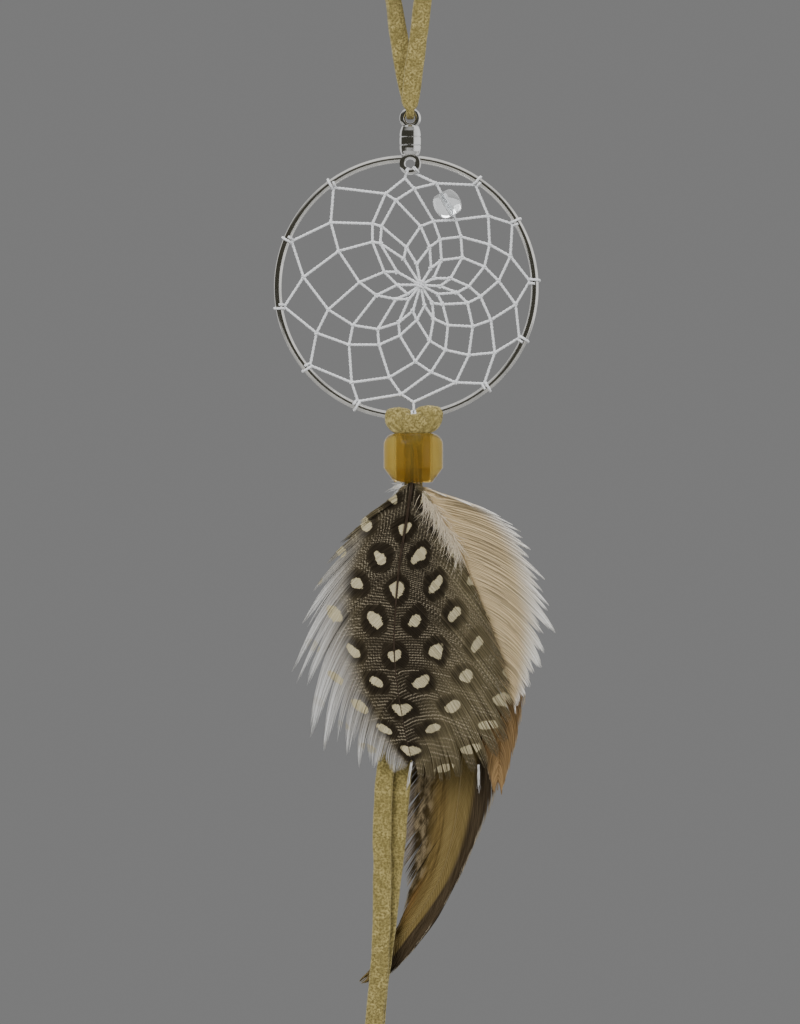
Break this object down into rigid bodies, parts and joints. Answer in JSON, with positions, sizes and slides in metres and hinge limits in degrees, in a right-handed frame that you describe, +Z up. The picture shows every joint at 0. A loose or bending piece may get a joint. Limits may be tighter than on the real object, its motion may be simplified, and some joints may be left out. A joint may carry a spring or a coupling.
{
  "type": "dream catcher",
  "caption": "Small hanging dream catcher: metal hoop with a woven thread web and glass bead, hung from a suede loop by a swivel, with a bead, feathers and suede tails.",
  "frame": {"origin": "where the inside of the suede loop rests on the peg, hook or mirror stem that holds the part up", "axes": "+Z up along the hanging line, +X to the right in the hoop's plane, front of the web and the spotted feather facing -Y"},
  "size_m": [0.0534, 0.0114, 0.2614],
  "materials": {
    "suede": "matt suede nap",
    "swivel_metal": "polished",
    "hoop_metal": "polished",
    "thread": "waxed twisted thread",
    "clear_glass": "clear",
    "amber_glass": "clear amber",
    "dark_quill": "satin horn",
    "pale_quill": "satin horn",
    "guinea_vane": "spotted feather barbs",
    "cream_vane": "soft feather barbs",
    "tan_vane": "feather barbs",
    "brown_vane": "glossy feather barbs"
  },
  "bodies": {
    "hanger": {"hanger_lace_back": "suede", "hanger_lace_front": "suede", "hanger_knot": "suede"},
    "upper_eye": {"swivel_upper_eye": "swivel_metal"},
    "collar": {"swivel_collar": "swivel_metal"},
    "hoop": {"swivel_lower_eye": "swivel_metal", "swivel_pin": "swivel_metal", "hoop_ring": "hoop_metal", "web_thread": "thread"},
    "web_bead": {"web_bead": "clear_glass"},
    "drop": {"lace_hitch": "suede", "lace_tail_front": "suede", "lace_tail_back": "suede"},
    "amber_bead": {"amber_bead": "amber_glass", "guinea_quill": "dark_quill", "cream_quill": "pale_quill", "tan_quill": "pale_quill", "brown_quill": "dark_quill"},
    "guinea_feather": {"guinea_vane": "guinea_vane"},
    "cream_feather": {"cream_vane": "cream_vane"},
    "tan_feather": {"tan_vane": "tan_vane"},
    "brown_feather": {"brown_vane": "brown_vane"}
  },
  "joints": [
    {"name": "eye_swing", "type": "hinge", "parent": "hanger", "child": "upper_eye", "pos_m": [0, 0, -0.066], "axis": [1, 0, 0], "range_deg": [-60, 60]},
    {"name": "hoop_spin", "type": "hinge", "parent": "upper_eye", "child": "hoop", "pos_m": [0, 0, -0.0703], "axis": [0, 0, 1], "continuous": true},
    {"name": "collar_spin", "type": "hinge", "parent": "hoop", "child": "collar", "pos_m": [0, 0, -0.0719], "axis": [0, 0, 1], "continuous": true},
    {"name": "web_bead_slide", "type": "slide", "parent": "hoop", "child": "web_bead", "axis": [-0.4722, 0, 0.8815], "range_m": [0, 0.001]},
    {"name": "drop_swing", "type": "hinge", "parent": "hoop", "child": "drop", "pos_m": [0.00054, 0, -0.12467], "axis": [0.9986, 0, 0.0523], "range_deg": [-75, 75]},
    {"name": "amber_bead_slide", "type": "slide", "parent": "drop", "child": "amber_bead", "axis": [0, 0, -1], "range_m": [0, 0.005]},
    {"name": "guinea_flutter", "type": "hinge", "parent": "amber_bead", "child": "guinea_feather", "pos_m": [0.0002, -0.0026, -0.1383], "axis": [-1, 0, 0], "range_deg": [0, 25]},
    {"name": "cream_fan", "type": "hinge", "parent": "amber_bead", "child": "cream_feather", "pos_m": [0.0017, -0.0018, -0.1383], "axis": [0, -1, 0], "range_deg": [-3, 8]},
    {"name": "tan_fan", "type": "hinge", "parent": "amber_bead", "child": "tan_feather", "pos_m": [0.0006, -0.001, -0.1383], "axis": [0, -1, 0], "range_deg": [-3, 6]},
    {"name": "brown_flutter", "type": "hinge", "parent": "amber_bead", "child": "brown_feather", "pos_m": [0.0009, 0.0027, -0.1383], "axis": [1, 0, 0], "range_deg": [0, 25]}
  ]
}
